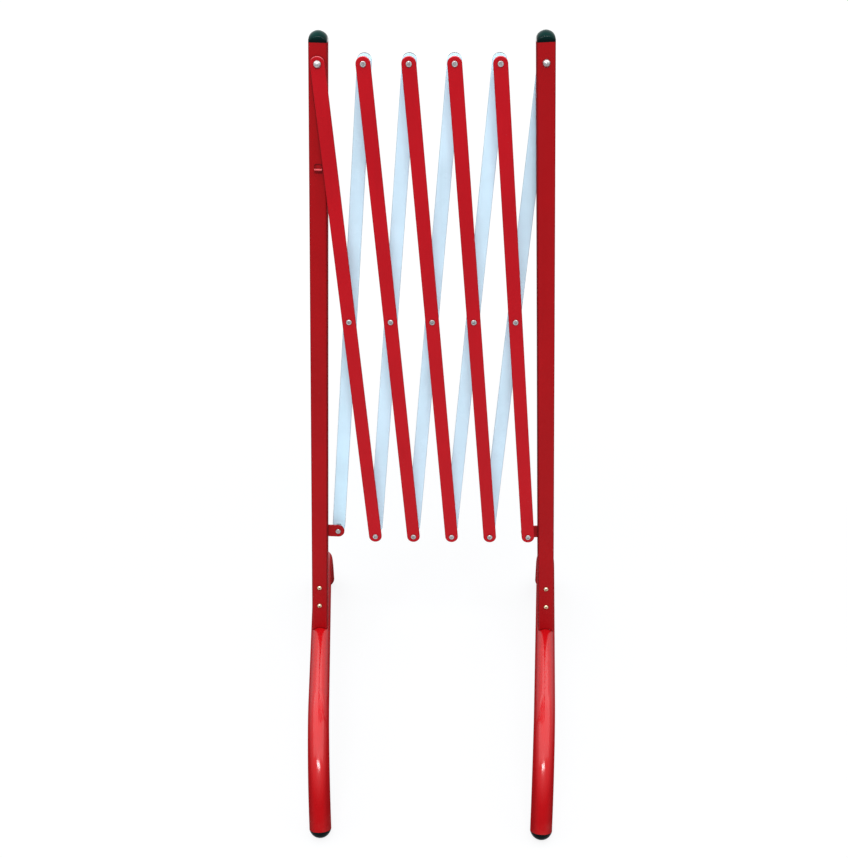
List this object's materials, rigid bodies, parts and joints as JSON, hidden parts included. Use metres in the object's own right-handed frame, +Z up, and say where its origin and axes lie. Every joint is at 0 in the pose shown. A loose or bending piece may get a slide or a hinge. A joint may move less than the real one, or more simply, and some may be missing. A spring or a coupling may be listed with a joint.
{
  "type": "expandable barrier",
  "caption": "Free-standing expandable barrier: red and white scissor lattice between two posts on arched tube feet, folded, pulls out sideways to close off a passage.",
  "frame": {"origin": "on the floor, midway between the two posts and midway between the front and rear foot ends", "axes": "+X along the barrier to the right post, +Y to the rear, +Z up"},
  "size_m": [0.4588, 0.6902, 1.0877],
  "materials": {
    "red_enamel": "gloss enamel",
    "white_enamel": "gloss enamel",
    "zinc": "bright zinc plating",
    "yellow_zinc": "yellow zinc plating",
    "dark_plastic": "moulded, semi-gloss",
    "nylon": "moulded, matt"
  },
  "bodies": {
    "left_post": {"left_post": "red_enamel", "left_top_cap": "dark_plastic", "left_spigot": "zinc", "left_foot_screws": "yellow_zinc", "left_foot": "red_enamel", "left_front_foot_cap": "dark_plastic", "left_rear_foot_cap": "dark_plastic", "left_top_bolt": "zinc", "left_top_nut": "zinc", "left_top_washer": "zinc", "fold_stop": "red_enamel"},
    "red_bar_1": {"red_bar_1": "red_enamel", "red_bar_1_rivets": "zinc", "red_bar_1_spacers": "zinc"},
    "white_bar_1": {"white_bar_1": "white_enamel"},
    "red_bar_2": {"red_bar_2": "red_enamel", "red_bar_2_rivets": "zinc", "red_bar_2_spacers": "zinc"},
    "white_bar_2": {"white_bar_2": "white_enamel"},
    "red_bar_3": {"red_bar_3": "red_enamel", "red_bar_3_rivets": "zinc", "red_bar_3_spacers": "zinc"},
    "white_bar_3": {"white_bar_3": "white_enamel"},
    "red_bar_4": {"red_bar_4": "red_enamel", "red_bar_4_rivets": "zinc", "red_bar_4_spacers": "zinc"},
    "white_bar_4": {"white_bar_4": "white_enamel"},
    "red_bar_5": {"red_bar_5": "red_enamel", "red_bar_5_rivets": "zinc", "red_bar_5_spacers": "zinc"},
    "white_bar_5": {"white_bar_5": "white_enamel"},
    "right_post": {"right_post": "red_enamel", "right_top_cap": "dark_plastic", "right_spigot": "zinc", "right_foot_screws": "yellow_zinc", "right_foot": "red_enamel", "right_front_foot_cap": "dark_plastic", "right_rear_foot_cap": "dark_plastic", "right_top_bolt": "zinc", "right_top_nut": "zinc", "right_top_washer": "zinc"},
    "left_slider": {"left_lug": "red_enamel", "left_shoe": "nylon", "left_lug_rivet": "zinc", "left_lug_spacer": "zinc"},
    "right_slider": {"right_lug": "red_enamel", "right_shoe": "nylon", "right_lug_rivet": "zinc", "right_lug_spacer": "zinc"}
  },
  "joints": [
    {"name": "red_bar_1_pivot", "type": "hinge", "parent": "left_post", "child": "red_bar_1", "pos_m": [-0.15125, 0, 1.047], "axis": [0, -1, 0], "range_deg": [0, 40.23]},
    {"name": "white_bar_1_pivot", "type": "hinge", "parent": "red_bar_1", "child": "white_bar_1", "pos_m": [-0.121, 0, 0.68426], "axis": [0, -1, 0], "range_deg": [-80.51, 0]},
    {"name": "white_bar_2_pivot", "type": "hinge", "parent": "red_bar_1", "child": "white_bar_2", "pos_m": [-0.09075, 0, 0.32152], "axis": [0, -1, 0], "range_deg": [-80.51, 0]},
    {"name": "red_bar_2_pivot", "type": "hinge", "parent": "white_bar_2", "child": "red_bar_2", "pos_m": [-0.0605, 0, 0.68426], "axis": [0, -1, 0], "range_deg": [0, 80.51]},
    {"name": "red_bar_3_pivot", "type": "hinge", "parent": "white_bar_2", "child": "red_bar_3", "pos_m": [-0.03025, 0, 1.047], "axis": [0, -1, 0], "range_deg": [0, 80.51]},
    {"name": "white_bar_3_pivot", "type": "hinge", "parent": "red_bar_3", "child": "white_bar_3", "pos_m": [0, 0, 0.68426], "axis": [0, -1, 0], "range_deg": [-80.51, 0]},
    {"name": "white_bar_4_pivot", "type": "hinge", "parent": "red_bar_3", "child": "white_bar_4", "pos_m": [0.03025, 0, 0.32152], "axis": [0, -1, 0], "range_deg": [-80.51, 0]},
    {"name": "red_bar_4_pivot", "type": "hinge", "parent": "white_bar_4", "child": "red_bar_4", "pos_m": [0.0605, 0, 0.68426], "axis": [0, -1, 0], "range_deg": [0, 80.51]},
    {"name": "red_bar_5_pivot", "type": "hinge", "parent": "white_bar_4", "child": "red_bar_5", "pos_m": [0.09075, 0, 1.047], "axis": [0, -1, 0], "range_deg": [0, 80.51]},
    {"name": "white_bar_5_pivot", "type": "hinge", "parent": "red_bar_5", "child": "white_bar_5", "pos_m": [0.121, 0, 0.68426], "axis": [0, -1, 0], "range_deg": [-80.51, 0]},
    {"name": "right_post_pivot", "type": "hinge", "parent": "white_bar_5", "child": "right_post", "pos_m": [0.15125, 0, 1.047], "axis": [0, -1, 0], "range_deg": [0, 40.25]},
    {"name": "left_slider_pivot", "type": "hinge", "parent": "white_bar_1", "child": "left_slider", "pos_m": [-0.15125, 0, 0.32152], "axis": [0, -1, 0], "range_deg": [0, 40.25]},
    {"name": "right_slider_pivot", "type": "hinge", "parent": "red_bar_5", "child": "right_slider", "pos_m": [0.15125, 0, 0.32152], "axis": [0, -1, 0], "range_deg": [-40.25, 0]}
  ],
  "couplings": [
    {"joint": "white_bar_1_pivot", "follows": "red_bar_1_pivot", "ratio": -2},
    {"joint": "white_bar_2_pivot", "follows": "red_bar_1_pivot", "ratio": -2},
    {"joint": "red_bar_2_pivot", "follows": "red_bar_1_pivot", "ratio": 2},
    {"joint": "red_bar_3_pivot", "follows": "red_bar_1_pivot", "ratio": 2},
    {"joint": "white_bar_3_pivot", "follows": "red_bar_1_pivot", "ratio": -2},
    {"joint": "white_bar_4_pivot", "follows": "red_bar_1_pivot", "ratio": -2},
    {"joint": "red_bar_4_pivot", "follows": "red_bar_1_pivot", "ratio": 2},
    {"joint": "red_bar_5_pivot", "follows": "red_bar_1_pivot", "ratio": 2},
    {"joint": "white_bar_5_pivot", "follows": "red_bar_1_pivot", "ratio": -2},
    {"joint": "right_post_pivot", "follows": "red_bar_1_pivot", "ratio": 1},
    {"joint": "left_slider_pivot", "follows": "red_bar_1_pivot", "ratio": 1},
    {"joint": "right_slider_pivot", "follows": "red_bar_1_pivot", "ratio": -1}
  ]
}
